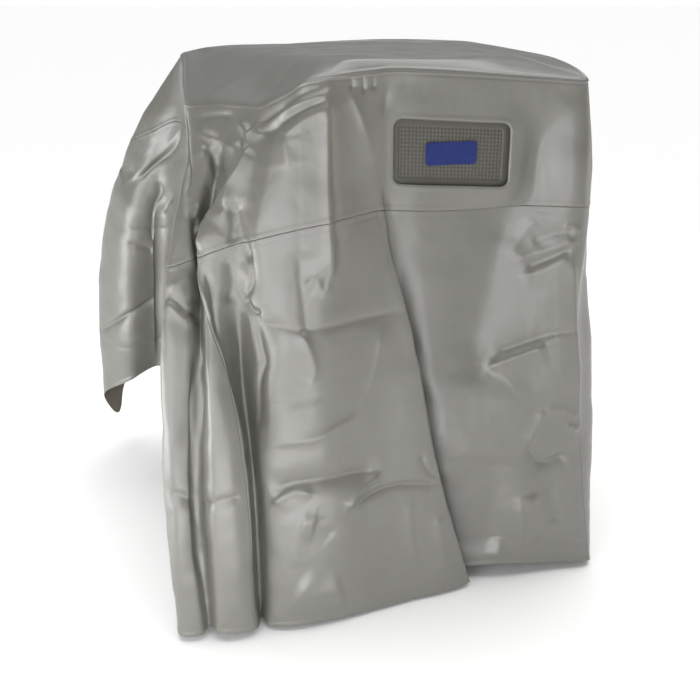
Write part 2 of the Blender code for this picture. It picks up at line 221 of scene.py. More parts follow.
# Creases between two folds: how far they stand out in mm (or in, under 0), their width in mm on the
# left and on the right along the line, and their points as (x, z) in mm, seen from the front. Lines run
# upwards or to the right, so the left side is the left or the upper one.
CREASE_ROWS = (
    # the panel beside the pleat
    ("panel ridge", "panel right", "panel turn", 13, 42, 15,
     ((-152, -305), (-147, -268), (-146, -182), (-140, -63), (-136, 8))),
    ("panel ridge crest", "panel right", "panel turn", 6, 12, 10,
     ((-152, -305), (-147, -268), (-146, -182), (-140, -63), (-136, 8))),
    ("patch edge", "panel right", "panel turn", -8, 16, 26, ((-184, -372), (-187, -310), (-189, -235))),
    ("patch wave", "panel right", "panel turn", 5, 6, 6,
     ((-184, -300), (-170, -285), (-158, -305), (-146, -290))),
    ("wavy ridge", "panel right", "panel turn", 6, 9, 5,
     ((-183, -452), (-175, -428), (-183, -391), (-193, -363))),
    ("packing crease", "pleat crest", "corner valley", -4.5, 4, 9,
     ((-259, -353), (-216, -356), (-191, -363), (-129, -360), (-67, -358), (-21, -353))),
    ("low dent", "pleat crest", "panel turn", -11, 20, 13,
     ((-244, -655), (-222, -632), (-142, -625), (-56, -635))),
    ("dent lip", "panel ridge", "panel turn", 6, 6, 8,
     ((-248, -668), (-228, -650), (-205, -642), (-180, -650))),
    ("low ridge", "pleat crest", "panel turn", 10, 9, 6, ((-124, -686), (-105, -661), (-56, -639))),
    ("low crease", "pleat crest", "panel turn", -8, 4, 10,
     ((-115, -686), (-70, -672), (-25, -669), (58, -680))),
    ("pocket edge", "pleat crest", "panel left", -4, 9, 14, ((-176, -690), (-166, -716), (-148, -730))),
    ("long soft fold", "pleat crest", "panel left", 5, 8, 20,
     ((-200, -560), (-150, -535), (-104, -520), (-84, -488), (-58, -408), (-54, -362))),
    ("edge stripe", "pleat crest", "panel right", 6, 12, 12, ((72, -858), (58, -790), (52, -740))),
    ("hanging line", "pleat crest", "panel right", 3, 8, 8, ((12, -830), (0, -760), (-6, -700))),
    ("top ray", "panel ridge", "left corner", -6, 7, 7,
     ((-247, -60), (-214, -45), (-190, -24), (-160, -9), (-135, -4))),
    ("ridge between rays", "panel ridge", "left corner", 6, 5, 5,
     ((-222, -58), (-195, -38), (-165, -21), (-135, -11))),
    ("second ray", "panel ridge", "left corner", -7, 6, 10,
     ((-242, -70), (-222, -68), (-200, -52), (-168, -33), (-136, -21))),
    ("third ray", "panel ridge", "panel turn", 5, 10, 10, ((-205, -78), (-172, -50), (-137, -30))),
    ("panel glint", "panel ridge", "panel turn", 4, 12, 12, ((-196, -120), (-202, -74))),
    ("slanting ray", "pleat crest", "panel ridge", 5, 12, 10, ((-58, -120), (-82, -50), (-104, -6))),
    ("pucker 1", "pleat crest", "panel ridge", -4, 3, 4, ((-96, -8), (-98, 14))),
    ("pucker 2", "pleat crest", "panel ridge", -4, 3, 4, ((-78, -10), (-80, 15))),
    ("pucker 3", "pleat crest", "panel ridge", -4, 3, 4, ((-58, -8), (-60, 16))),
    ("flap", "pleat valley", "panel right", -6, 4, 6, ((54, -672), (30, -650), (16, -612))),
    # the corner where the panel ends and the cloth sags
    ("corner edge", "panel turn", "left corner", 11, 4, 22,
     ((-294, -184), (-284, -150), (-266, -126), (-246, -92))),
    ("corner edge foot", "corner valley", "lobe left", 9, 4, 18,
     ((-338, -252), (-328, -226), (-315, -206), (-296, -188))),
    ("inner valley", "panel turn", "left corner", -7, 7, 8,
     ((-268, -268), (-270, -230), (-273, -199), (-278, -170))),
    ("second inner valley", "panel turn", "left corner", -6, 5, 5,
     ((-286, -236), (-284, -206), (-284, -178))),
    ("valley curve", "panel turn", "left corner", -6, 8, 9, ((-298, -331), (-289, -296), (-293, -256))),
    ("left fold", "panel left", "corner valley", -7, 6, 7, ((-271, -316), (-262, -292), (-267, -236))),
    ("small crumple", "panel left", "corner valley", -7, 4, 7,
     ((-273, -316), (-269, -328), (-262, -338), (-250, -337))),
    ("crumple tail", "panel left", "corner valley", -7, 6, 16,
     ((-262, -545), (-258, -456), (-249, -417), (-252, -402), (-258, -366), (-262, -340))),
    ("curl", "corner valley", "lobe left", 7, 4, 5, ((-252, -98), (-248, -72), (-260, -62))),
    ("curl shade", "corner valley", "lobe left", -6, 5, 4, ((-258, -104), (-257, -80))),
    # the sagging left side, from its top seam down
    ("fold under the seam", "left corner", "left wall front", -6, 5, 9,
     ((-318, -64), (-290, -57), (-262, -52))),
    ("hanging ridge", "left corner", "left wall front", 7, 7, 5,
     ((-321, -84), (-295, -90), (-270, -99), (-257, -101))),
    ("dark hollow", "left corner", "outer left", -10, 12, 14, ((-285, -150), (-296, -128), (-303, -102))),
    ("hollow edge", "left corner", "outer left", 7, 14, 4, ((-290, -166), (-303, -134), (-313, -100))),
    ("cleft", "outer right", "left wall middle", -9, 4, 5,
     ((-346, -172), (-339, -138), (-334, -95), (-330, -60))),
    ("light strip", "lobe left", "outer right", 7, 4, 4, ((-328, -232), (-336, -206), (-346, -180))),
    ("dark gap", "lobe left", "outer right", -10, 5, 5, ((-336, -268), (-338, -232), (-343, -196))),
    ("lappet edge", "lobe valley", "outer left", 7, 16, 4,
     ((-334, -350), (-341, -298), (-346, -262), (-346, -220), (-349, -188))),
    ("lappet left valley", "outer right", "left wall front", -8, 5, 6,
     ((-384, -268), (-378, -246), (-366, -210), (-357, -187))),
    ("bright fold", "outer right", "outer left", 5, 9, 13, ((-388, -304), (-370, -300), (-352, -288))),
    ("double crease", "lobe valley", "outer left", -6, 4, 5,
     ((-392, -313), (-369, -336), (-348, -354), (-335, -362))),
    ("double crease ridge", "lobe valley", "outer left", 5, 5, 6,
     ((-392, -324), (-370, -348), (-350, -368))),
    ("narrow strip", "corner valley", "lobe left", 6, 4, 3, ((-326, -351), (-333, -315), (-338, -275))),
    ("strip line", "corner valley", "lobe left", -6, 3, 4,
     ((-317, -384), (-323, -341), (-323, -310), (-332, -273))),
    ("lobe edge", "corner valley", "lobe left", 6, 20, 4,
     ((-289, -800), (-291, -633), (-299, -522), (-311, -441), (-318, -392), (-326, -362))),
    ("lobe valley line", "lobe left", "outer left", -10, 22, 7,
     ((-367, -834), (-370, -751), (-370, -663), (-369, -569),
      (-363, -478), (-352, -432), (-342, -403), (-331, -374))),
    ("lobe cross", "left corner", "lobe valley", -6, 5, 10, ((-360, -656), (-335, -640), (-302, -634))),
    ("outer cross", "lobe valley", "outer left", -5, 5, 9, ((-410, -632), (-389, -643), (-372, -660))),
    # the sleeve that is pulled out at the rear corner
    ("sleeve fold", "left wall rear", "sleeve tip", -6.5, 9, 5,
     ((-459, -277), (-399, -222), (-388, -210), (-351, -180), (-333, -156), (-323, -133), (-320, -106))),
    ("sleeve fold lip", "left wall rear", "sleeve tip", 4, 12, 6,
     ((-440, -246), (-395, -206), (-356, -172), (-338, -150), (-327, -128))),
    ("sleeve cleft", "left wall rear", "sleeve front", -7, 10, 6,
     ((-388, -367), (-393, -350), (-389, -318), (-379, -285), (-368, -258), (-372, -230))),
    ("sleeve side fold", "left wall middle", "sleeve root", -5, 5, 6,
     ((-366, -304), (-358, -284), (-344, -257))),
    ("sleeve wrinkle", "sleeve root", "rear left corner", -6, 4, 7,
     ((-446, -370), (-419, -377), (-394, -388))),
    ("sleeve crease", "sleeve root", "sleeve tip", -8, 3, 9,
     ((-523, -598), (-466, -546), (-425, -518), (-398, -506))),
    ("elbow", "sleeve front", "sleeve tip", -7, 18, 18, ((-470, -222), (-440, -215), (-415, -222))),
    # the window wall
    ("beside the window", "beside the pleat", "pleat crest", -9, 12, 7,
     ((-34, -200), (-40, -110), (-44, -40), (-38, 0))),
    ("fan ridge steep", "front right corner", "front middle", 5, 11, 16,
     ((178, -292), (194, -256), (222, -218))),
    ("fan hollow high", "front right corner", "front middle", -5, 9, 9,
     ((216, -262), (246, -246), (282, -238))),
    ("fan wedge", "front right corner", "front right", 4, 4, 4, ((262, -232), (292, -238))),
    ("fan ridge", "front right corner", "front middle", 5.5, 11, 8,
     ((182, -294), (236, -274), (286, -256))),
    ("fan valley", "front right corner", "front middle", -5.5, 8, 8,
     ((206, -306), (240, -290), (282, -266))),
    ("fan ridge low", "front right corner", "front middle", 5, 7, 18,
     ((194, -322), (236, -304), (276, -280))),
    ("wrinkle line", "front right corner", "front middle", -6, 12, 4,
     ((160, -462), (201, -444), (248, -426), (292, -416))),
    ("wrinkle", "front right corner", "beside the pleat", 10, 4, 26,
     ((146, -490), (158, -476), (201, -456), (248, -440))),
    ("crumple left", "front right corner", "front middle", 5.5, 13, 8,
     ((225, -630), (247, -590), (252, -562))),
    ("crumple top", "front right corner", "front middle", 4.5, 8, 14,
     ((252, -562), (290, -570), (322, -588))),
    ("crescent", "front right corner", "front middle", -10, 12, 20,
     ((226, -634), (264, -676), (311, -660))),
    ("crumple tick", "front right corner", "front right", 5, 4, 4, ((298, -598), (326, -614))),
    ("stand-up line", "front right corner", "front middle", 4, 9, 6,
     ((233, -866), (226, -809), (219, -750))),
    ("hem crease 1", "front right corner", "front middle", -3, 4, 6,
     ((250, -842), (300, -848), (366, -860))),
    ("hem crease 2", "front right corner", "front right", -3, 3, 4, ((290, -872), (372, -884))),
    ("corner welt", "front right corner", "front right", 6, 9, 5,
     ((330, -607), (318, -557), (306, -500), (290, -410), (283, -330), (276, -262))),
)

# Broad soft rises and hollows, in the same terms
BILLOW_ROWS = (
    ("panel fullness", "pleat crest", "panel turn", 15, 72, 60,
     ((-140, -880), (-165, -560), (-150, -330), (-136, -120))),
    ("panel swell", "pleat crest", "panel turn", 6, 45, 45, ((-200, -560), (-215, -480))),
    ("panel right hollow", "pleat crest", "panel ridge", -6, 30, 30,
     ((-10, -480), (-40, -330), (-60, -150))),
    ("foot swell", "pleat crest", "panel turn", 9, 30, 34, ((-215, -822), (-170, -842), (-130, -836))),
    ("under the crease", "pleat crest", "panel turn", 7, 22, 26, ((-205, -700), (-180, -706))),
    ("window side", "front right corner", "pleat valley", -18, 85, 42,
     ((108, -520), (120, -426), (130, -355), (145, -285), (163, -229), (180, -170), (204, -118), (250, -30))),
    ("low valley", "front right corner", "pleat valley", -14, 70, 62,
     ((138, -540), (148, -440), (164, -350), (186, -270), (206, -205))),
    ("right swell", "front right corner", "front right", 17, 58, 22,
     ((312, -580), (302, -450), (292, -330), (286, -190), (284, -50))),
    ("low side", "front right corner", "pleat valley", -11, 60, 36,
     ((172, -860), (160, -740), (172, -640))),
    ("low swell", "front right corner", "front middle", 8, 24, 18, ((256, -840), (244, -780), (240, -730))),
    ("low hollow", "front right corner", "front right", -6, 15, 15,
     ((298, -810), (286, -760), (280, -720))),
    ("left of the hem", "front right corner", "beside the pleat", 5, 14, 14, ((182, -866), (184, -826))),
    ("sleeve swell", "sleeve root", "rear left corner", 19, 72, 22,
     ((-414, -680), (-406, -560), (-396, -440), (-386, -320), (-380, -240))),
    ("lobe swell", "left corner", "lobe left", 5, 16, 16, ((-312, -830), (-318, -600), (-322, -470))),
    ("outer swell", "outer right", "left wall front", 6, 16, 16,
     ((-404, -800), (-400, -560), (-392, -400))),
)

Hang = namedtuple("Hang", "place lean rise width")

# Soft folds that hang from the top on the plainer walls. The place where one starts, how far it
# leans sideways down to the hem and its width are in fold steps, its rise at the hem is in mm.
HANG_ROWS = (
    (17.25, 0.25, 8, 0.14), (17.62, 0.10, -6, 0.12), (18.05, -0.10, 9, 0.18), (18.45, -0.05, -7, 0.14),
    (22.35, 0.15, 7, 0.20), (22.95, 0.30, -8, 0.22), (23.55, 0.25, 9, 0.16), (24.10, 0.10, -8, 0.15),
    (24.55, 0.05, 10, 0.14), (25.05, -0.10, -7, 0.12), (25.45, 0.10, 8, 0.13), (26.05, 0.15, -9, 0.14),
    (26.50, 0.10, 8, 0.10), (27.45, 0.10, -8, 0.16), (27.95, 0.05, 9, 0.18), (28.60, -0.15, -9, 0.16),
    (29.15, -0.05, 8, 0.14), (29.65, 0.10, -9, 0.18), (30.35, 0.15, 10, 0.20), (30.95, -0.05, -7, 0.16),
)
PACKING_LEVELS = (-0.372, -0.660)  # heights at which the cover was folded flat before use
PACKING_DENT = 0.0028
PACKING_WIDTH = 0.006


def fold_places():
    """Each fold's five places, as an array of (fold, place, xyz) in metres."""
    places = []
    for fold in FOLDS:
        skirt_drop = fold.hem[2] - fold.mid[2]
        knee = (*fold.knee, fold.mid[2] + KNEE_SHARE * skirt_drop)
        low = (*fold.low, fold.mid[2] + LOW_SHARE * skirt_drop)
        places.append((fold.top, fold.mid, knee, low, fold.hem))
    return np.array(places, float) * MM + np.array((0.0, 0.0, DATUM))


PLACES = fold_places()


def smooth_step(share):
    """A share from 0 to 1 that starts and ends level."""
    return share * share * (3 - 2 * share)


def smooth_through(before, start, end, after, share):
    """Points between start and end, on curves that also pass before and after."""

    def reach(a, b):
        return np.sqrt(np.maximum(np.linalg.norm(b - a, axis=-1, keepdims=True), 1e-6))

    t1 = reach(before, start)
    t2 = t1 + reach(start, end)
    t3 = t2 + reach(end, after)
    t = t1 + share * (t2 - t1)
    a1 = ((t1 - t) * before + t * start) / t1
    a2 = ((t2 - t) * start + (t - t1) * end) / (t2 - t1)
    a3 = ((t3 - t) * end + (t - t2) * after) / (t3 - t2)
    b1 = ((t2 - t) * a1 + t * a2) / t2
    b2 = ((t3 - t) * a2 + (t - t1) * a3) / (t3 - t1)
    return ((t2 - t) * b1 + (t - t1) * b2) / (t2 - t1)


def smooth_line(points, count):
    """More points on a smooth curve through a line's own points."""
    line = [np.array(p, float) for p in points]
    line = [2 * line[0] - line[1]] + line + [2 * line[-1] - line[-2]]
    shares = np.linspace(0.0, 1.0, count, endpoint=False)[:, None]
    runs = [smooth_through(*line[k:k + 4], shares) for k in range(len(line) - 3)]
    return np.concatenate(runs + [line[-2][None]])


def fold_rings(heights):
    """The points of all folds at each height step, as (height, fold, xyz)."""
    steps = np.minimum(heights.astype(int), PLACES.shape[1] - 2)
    share = (heights - steps)[:, None, None]
    columns = PLACES.transpose(1, 0, 2)
    first = 2 * columns[0] - columns[1]
    last = 2 * columns[-1] - columns[-2]
    padded = np.concatenate((first[None], columns, last[None]))
    around = [padded[steps + k] for k in range(4)]
    return smooth_through(*around, share)


def wall_points(places, heights):
    """Points of the walls on a grid, as (height, place, xyz)."""
    rings = fold_rings(np.asarray(heights, float))
    rows = np.floor(places).astype(int)
    share = (places - rows)[None, :, None]
    around = [rings[:, (rows + k) % ROWS] for k in (-1, 0, 1, 2)]
    return smooth_through(*around, share)


def wall_normals(places, heights):
    """Outward unit normals of the walls on a grid, the same on both sides of a seam."""
    step = 0.03  # in fold and height steps
    lower = wall_points(places, np.minimum(heights + step, HEM))
    upper = wall_points(places, np.maximum(heights - step, TOP_SEAM))
    across = wall_points(places + step, heights) - wall_points(places - step, heights)
    normals = np.cross(across, lower - upper)
    return normals / np.maximum(np.linalg.norm(normals, axis=-1, keepdims=True), 1e-12)


def run_lengths(points, axis):
    """Distance of each grid point from the first and from the last one along an axis."""
    steps = np.linalg.norm(np.diff(points, axis=axis), axis=-1)
    gone = np.cumsum(steps, axis=axis)
    zero = np.zeros_like(np.take(gone, [0], axis=axis))
    from_first = np.concatenate((zero, gone), axis=axis)
    return from_first, np.take(from_first, [-1], axis=axis) - from_first


def crease_line(crease):
    """A smooth line on the cover through the crease's points, which are looked up on its own folds."""
    first, last = ROW[crease.first], ROW[crease.last]
    dense = np.linspace(first, last, (last - first) * 40 + 1)
    whole = wall_points(dense, np.linspace(TOP_SEAM, HEM, 321))
    spots = []
    for x, z in crease.points:
        gap = np.hypot(whole[..., 0] - x * MM, whole[..., 2] - z * MM - DATUM)
        spots.append(whole.reshape(-1, 3)[gap.argmin()])
    return smooth_line(spots, LINE_STEPS)


def nearest_on_line(points, normals, line):
    """Each point's distance from a line, how far along that is as a share, and on which side."""
    lengths = np.linalg.norm(np.diff(line, axis=0), axis=1)
    best = np.full(points.shape[:2], np.inf)
    along = np.zeros_like(best)
    side = np.zeros_like(best)
    start = 0.0
    for a, b, length in zip(line, line[1:], lengths):
        unit = (b - a) / max(length, 1e-9)
        off = points - a
        t = np.clip(off @ unit, 0.0, length)
        off = off - t[..., None] * unit
        gap = np.linalg.norm(off, axis=-1)
        nearer = gap < best
        best = np.where(nearer, gap, best)
        along = np.where(nearer, (start + t) / lengths.sum(), along)
        side = np.where(nearer, (off * np.cross(normals, unit)).sum(-1), side)
        start += length
    return best, along, side


def crease_offsets(points, normals, places, rows, sharp):
    """How far creases or billows move each point of a wall grid outwards, in metres."""
    moved = np.zeros(points.shape[:2])
    for crease in (Crease(*row) for row in rows):
        first, last = ROW[crease.first], ROW[crease.last]
        run_in = 1.0 if crease.first in WALL_ENDS else 0.5
        run_out = 0.5
        near = (places >= first - run_in) & (places <= last + run_out)
        if near.sum() < 3:
            continue
        fade = np.clip(1.0 + (places[near] - first) / run_in, 0.0, 1.0)
        fade = fade * np.clip((last + run_out - places[near]) / run_out, 0.0, 1.0)
        best, along, side = nearest_on_line(points[:, near], normals[:, near], crease_line(crease))
        lean = 0.5 + 0.5 * np.clip(side / np.maximum(best, 1e-9), -1.0, 1.0)
        width = (crease.right + (crease.left - crease.right) * lean) * MM
        ratio = best / width
        if sharp:
            blunt = np.minimum(0.25, CREASE_BLUNT * MM / width)
            profile = np.exp(blunt - np.hypot(ratio, blunt)) * (ratio < 6)
        else:
            profile = np.exp(-ratio ** 2)
        reach = 3.2 * max(crease.left, crease.right) * MM
        taper = np.clip(6.0 * np.minimum(along, 1.0 - along), 0.0, 1.0)
        taper = np.where(best < reach, 0.25 + 0.75 * smooth_step(taper), 0.0)
        moved[:, near] += crease.height * MM * profile * taper * fade
    return moved


def hanging_folds(places, heights):
    """Soft folds down the walls, as heights for a wall grid."""
    down = np.clip(np.asarray(heights) / HEM, 0.0, 1.0)[:, None]
    moved = np.zeros((len(heights), len(places)))
    for hang in (Hang(*row) for row in HANG_ROWS):
        off = (places[None, :] - hang.place - hang.lean * down) / hang.width
        moved += hang.rise * MM * down ** 0.7 * np.exp(-off ** 2)
    return moved


def packing_lines(points):
    """Faint level creases where the cover was once folded, coming and going round the walls."""
    strength = np.clip(0.6 + slack(points, 0.11, 2.0, 9), 0.0, 1.0)
    wander = slack(points, 0.20, 0.030, 10)
    moved = np.zeros(points.shape[:2])
    for level in PACKING_LEVELS:
        moved -= PACKING_DENT * np.exp(-np.abs(points[..., 2] - level - wander) / PACKING_WIDTH)
    return moved * strength


def slack(points, size, amount, seed):
    """Soft random waves of a given size, as heights for a grid of points."""
    flat = points.reshape(-1, 3)
    shift = Vector((3.7 * seed, 1.3 * seed, 5.1 * seed))
    heights = [noise.noise(Vector(p) / size + shift) for p in flat]
    return amount * np.array(heights).reshape(points.shape[:-1])


def spread(length, step, fine_start, fine_end):
    """Shares from 0 to 1 along a length, with extra ones by the ends that are sewn or hemmed."""
    near = [s / length for s in SEAM_STEPS]
    first = near if fine_start else [0.0]
    last = [1.0 - s for s in reversed(near)] if fine_end else [1.0]
    count = max(2, round((last[0] - first[-1]) * length / step))
    middle = np.linspace(first[-1], last[0], count + 1)[1:-1]
    return np.concatenate((first, middle, last))


def skirt_height(share):
    """The height step at a share of the skirt's drop."""
    return np.interp(share, (0.0, KNEE_SHARE, LOW_SHARE, 1.0), (MID_SEAM, KNEE, LOW, HEM))


def wall_places(wall):
    """Fold places across a wall, evenly spaced over its mean width."""
    dense = np.linspace(wall.start, wall.end, (wall.end - wall.start) * 20 + 1)
    rings = wall_points(dense, (0.5 * MID_SEAM, MID_SEAM, KNEE, LOW, HEM))
    gone = run_lengths(rings, 1)[0].mean(axis=0)
    shares = spread(gone[-1], wall.step, True, True)
    return np.interp(shares * gone[-1], gone, dense)


def sewn_relief(points, is_skirt):
    """Rolled edges, seam allowances and lines of stitches, as heights over the cloth."""
    down, up = run_lengths(points, 0)
    from_start, from_end = run_lengths(points, 1)

    def roll(distance, deep=SEAM_ROLL):
        return -deep * np.exp(-((distance / deep) ** 2))

    def stitches(distance, place):
        return -STITCH_DEPTH * np.exp(-(((distance - place) / STITCH_WIDTH) ** 2))

    relief = roll(from_start) + roll(from_end)
    if is_skirt:
        relief += roll(down)
        step = np.clip((HEM_FOLD - up) / 0.0015, 0.0, 1.0)
        relief += HEM_RAISE * step + stitches(up, HEM_FOLD)
        relief += stitches(down, SEAM_ALLOWANCE)
    else:
        relief += roll(up) + roll(down, TOP_ROLL)
        step = np.clip((SEAM_ALLOWANCE - up) / 0.0020, 0.0, 1.0)
        relief += ALLOWANCE_RAISE * step + TOP_STITCH_DEEPER * stitches(down, TOP_STITCH)
        relief += WELT_HEIGHT * np.exp(-(((down - WELT_PLACE) / WELT_WIDTH) ** 2))
    return relief


def mesh_object(name, vertices, faces, smooth=True):
    """A mesh object in the scene."""
    mesh = bpy.data.meshes.new(name)
    mesh.from_pydata(vertices.tolist(), [], faces)
    if smooth:
        mesh.shade_smooth()
    thing = bpy.data.objects.new(name, mesh)
    bpy.context.scene.collection.objects.link(thing)
    return thing


def grid_object(name, points, keep=None):
    """A mesh object of a grid's quads, or of those in keep."""
    rows, columns = points.shape[:2]
    index = np.arange(rows * columns).reshape(rows, columns)
    corners = (index[:-1, :-1], index[:-1, 1:], index[1:, 1:], index[1:, :-1])
    faces = np.stack(corners, axis=-1)
    faces = faces.reshape(-1, 4) if keep is None else faces[keep]
    used = np.zeros(rows * columns, bool)
    used[faces] = True
    renumber = np.cumsum(used) - 1
    return mesh_object(name, points.reshape(-1, 3)[used], renumber[faces].tolist())


def thicken(thing, thickness):
    """Gives a sheet its thickness, with the wrong side's material inside."""
    solid = thing.modifiers.new("cloth", "SOLIDIFY")
    solid.thickness = thickness
    solid.offset = -1.0
    solid.use_even_offset = False
    solid.material_offset = 1
    solid.material_offset_rim = 0


def window_gap(x, z, grow=0.0):
    """Signed distance from the window's rounded outline, under 0 inside."""
    half_w = 0.5 * WINDOW_WIDTH + grow
    half_h = 0.5 * WINDOW_HEIGHT + grow
    radius = WINDOW_RADIUS + grow
    px = np.abs(x - WINDOW_X) - half_w + radius
    py = np.abs(z - WINDOW_Z - WINDOW_SLANT * (x - WINDOW_X) / WINDOW_WIDTH) - half_h + radius
    outside = np.hypot(np.maximum(px, 0.0), np.maximum(py, 0.0))
    return outside + np.minimum(np.maximum(px, py), 0.0) - radius


def window_calm(points):
    """Share of the creases and billows that stays: none at the window's edge, all of them 6 cm away."""
    gap = window_gap(points[..., 0], points[..., 2])
    return smooth_step(np.clip((gap - WINDOW_PLAIN) / WINDOW_CALM, 0.0, 1.0))


def plain_share(places, wall):
    """1 in the middle of a wall and 0 at its ends."""
    return np.clip(3.0 * np.minimum(places - wall.start, wall.end - places), 0.0, 1.0)[None, :]


def cell_centres(gap):
    """The mean over each cell of a value that is known at the points of a grid."""
    return 0.25 * (gap[:-1, :-1] + gap[:-1, 1:] + gap[1:, 1:] + gap[1:, :-1])


def cut_window(points, normals):
    """The grid with a clean, slightly raised edge round the window, and the cells that stay."""
    gap = window_gap(points[..., 0], points[..., 2])
    keep = cell_centres(gap) > 0
    step = 1e-4
    slope_x = (window_gap(points[..., 0] + step, points[..., 2]) - gap) / step
    slope_z = (window_gap(points[..., 0], points[..., 2] + step) - gap) / step
    rim = (np.abs(gap) < WINDOW_RIM) & edge_of_hole(keep)
    points[..., 0] -= np.where(rim, gap * slope_x, 0.0)
    points[..., 2] -= np.where(rim, gap * slope_z, 0.0)
    bead = BEAD_HEIGHT * np.exp(-(((gap - BEAD_PLACE) / BEAD_WIDTH) ** 2))
    bead = bead - RIM_DEPTH * np.exp(-(gap / RIM_WIDTH) ** 2)
    return points + normals * bead[..., None], keep


def wall_object(wall, is_skirt):
    """The sheet of one piece of one wall."""
    name = ("cover_skirt_" if is_skirt else "cover_band_") + wall.name
    has_window = wall.name == "front" and not is_skirt
    places = wall_places(wall)
    if is_skirt:
        heights = skirt_height(spread(SKIRT_HEIGHT, 1.25 * wall.step, True, True))
    else:
        heights = spread(BAND_HEIGHT, wall.step, True, True)
    points = wall_points(places, heights)
    normals = wall_normals(places, heights)
    moved = sum(slack(points, *waves) for waves in WALL_SLACK)
    turned = places - ROWS if wall.name == "right" else places  # so that creases run on round the corner
    moved = moved + crease_offsets(points, normals, turned, CREASE_ROWS, True)
    moved = moved + crease_offsets(points, normals, turned, BILLOW_ROWS, False)
    moved = moved + hanging_folds(places, heights)
    if wall.name != "front":
        moved = moved + packing_lines(points) * plain_share(places, wall)
    if not is_skirt:
        down = run_lengths(points, 0)[0]
        moved = moved * np.clip(down / SEAM_CALM, 0.0, 1.0)
    if has_window:
        moved = moved * window_calm(points)
    moved = moved + sewn_relief(points, is_skirt)
    points = points + normals * moved[..., None]
    keep = None
    if has_window:
        points, keep = cut_window(points, normals)
    return grid_object(name, points, keep)


def edge_of_hole(keep):
    """Which grid points have both kept and dropped cells around them."""
    padded = np.pad(keep.astype(int), 1, mode="edge")
    around = padded[:-1, :-1] + padded[:-1, 1:] + padded[1:, 1:] + padded[1:, :-1]
    return (around > 0) & (around < 4)


def top_start(places, edge):
    """Where, as a share of the way out, the flat middle of the top starts to bend down, at each place."""
    along = (SAG_END - SAG_START) / np.linalg.norm(SAG_END - SAG_START)
    across = np.array((along[1], -along[0]))
    edge_side = (edge[:, :2] - SAG_START) @ across
    centre_side = float(-SAG_START @ across)
    crossing = centre_side / (centre_side - edge_side)
    beyond = (edge_side * centre_side) < 0
    start = np.where(beyond, np.clip(crossing, 0.3, TOP_FLAT), TOP_FLAT)
    past_corner = (places - SLOPE_PLACE + ROWS / 2) % ROWS - ROWS / 2
    start = start - SLOPE_SHARE * np.exp(-((past_corner / SLOPE_WIDTH) ** 2))
    blur = np.exp(-np.linspace(-2.5, 2.5, 2 * TOP_BLUR + 1) ** 2)
    wrapped = np.concatenate((start[-TOP_BLUR:], start, start[:TOP_BLUR]))
    return np.convolve(wrapped, blur / blur.sum(), mode="valid")[None, :]


def top_object():
    """The top panel: nearly flat, rolling over at its edge and sagging to the front left corner."""
    places = np.concatenate([wall_places(wall)[:-1:2] for wall in WALLS])
    edge = wall_points(places, [TOP_SEAM])[0]
    count = len(places)
    inner = np.linspace(0.03, 0.84, 42)
    middle = np.linspace(0.84, 0.95, 10)[1:]
    outer = 1.0 - np.array(TOP_EDGE_SHARES)
    shares = np.concatenate((inner, middle, outer))[:, None]
    start = top_start(places, edge)
    slope = (shares - start) / (1.0 - start)
    slope = (slope + np.hypot(slope, TOP_SOFT)) / (1.0 + math.hypot(1.0, TOP_SOFT))
    points = np.zeros((len(shares), count, 3))
    points[..., 0] = edge[None, :, 0] * shares
    points[..., 1] = edge[None, :, 1] * shares
    points[..., 2] = CLOTH + slope * (edge[None, :, 2] - CLOTH)
    calm = np.clip((1.0 - shares) / TOP_CALM, 0.0, 1.0)
    points[..., 2] += (sum(slack(points, *waves) for waves in TOP_SLACK) - TOP_SINK) * calm
    out = run_lengths(points, 0)[1]
    points[..., 2] -= TOP_EDGE_DROP * np.exp(-((out / TOP_EDGE_WIDTH) ** 2))
    points[..., 2] -= TOP_GROOVE * np.exp(-(((out - TOP_GROOVE_PLACE) / TOP_GROOVE_WIDTH) ** 2))
    vertices = np.concatenate(([(0.0, 0.0, points[0, :, 2].mean())], points.reshape(-1, 3)))
    index = 1 + np.arange(len(shares) * count).reshape(len(shares), count)
    after = np.roll(index, -1, axis=1)
    quads = np.stack((index[:-1], index[1:], after[1:], after[:-1]), axis=-1).reshape(-1, 4)
    fan = [(0, int(a), int(b)) for a, b in zip(index[0], after[0])]
    thing = mesh_object("cover_top", vertices, fan + quads.tolist())
    thing.data.update()
    if thing.data.polygons[0].normal.z < 0:
        thing.data.flip_normals()
    return thing


def insert_object():
    """The moulded panel in the window: a bevelled rim round a grid of small bumps."""
    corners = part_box("window_insert")
    left, back, low = (min(c[k] for c in corners) for k in range(3))
    right, high = (max(c[k] for c in corners) for k in (0, 2))
    step = BUMP_PITCH / 6
    x = np.linspace(left, right, round((right - left) / step) + 1)
    z = np.linspace(high, low, round((high - low) / step) + 1)
    grid_x, grid_z = np.meshgrid(x, z)
    inside = -window_gap(grid_x, grid_z)
    tilt = grid_z - WINDOW_SLANT * (grid_x - WINDOW_X) / WINDOW_WIDTH
    wave_x = np.cos(2 * math.pi * (grid_x - WINDOW_X) / BUMP_PITCH)
    wave_z = np.cos(2 * math.pi * (tilt - WINDOW_Z) / BUMP_PITCH)
    bumps = BUMP_HEIGHT * np.clip(0.35 + 0.65 * wave_x * 0.5 + 0.65 * wave_z * 0.5, 0.0, 1.0)
    floor = np.clip((inside - INSERT_BORDER) / INSERT_SLOPE, 0.0, 1.0)
    height = INSERT_DEPTH * (1.0 - floor) + bumps * floor
    points = np.stack((grid_x, back + INSERT_DEPTH - height, grid_z), axis=-1)
    stays = cell_centres(window_gap(grid_x, grid_z, INSERT_MARGIN)) < 0
    return grid_object("cover_insert", points, stays)


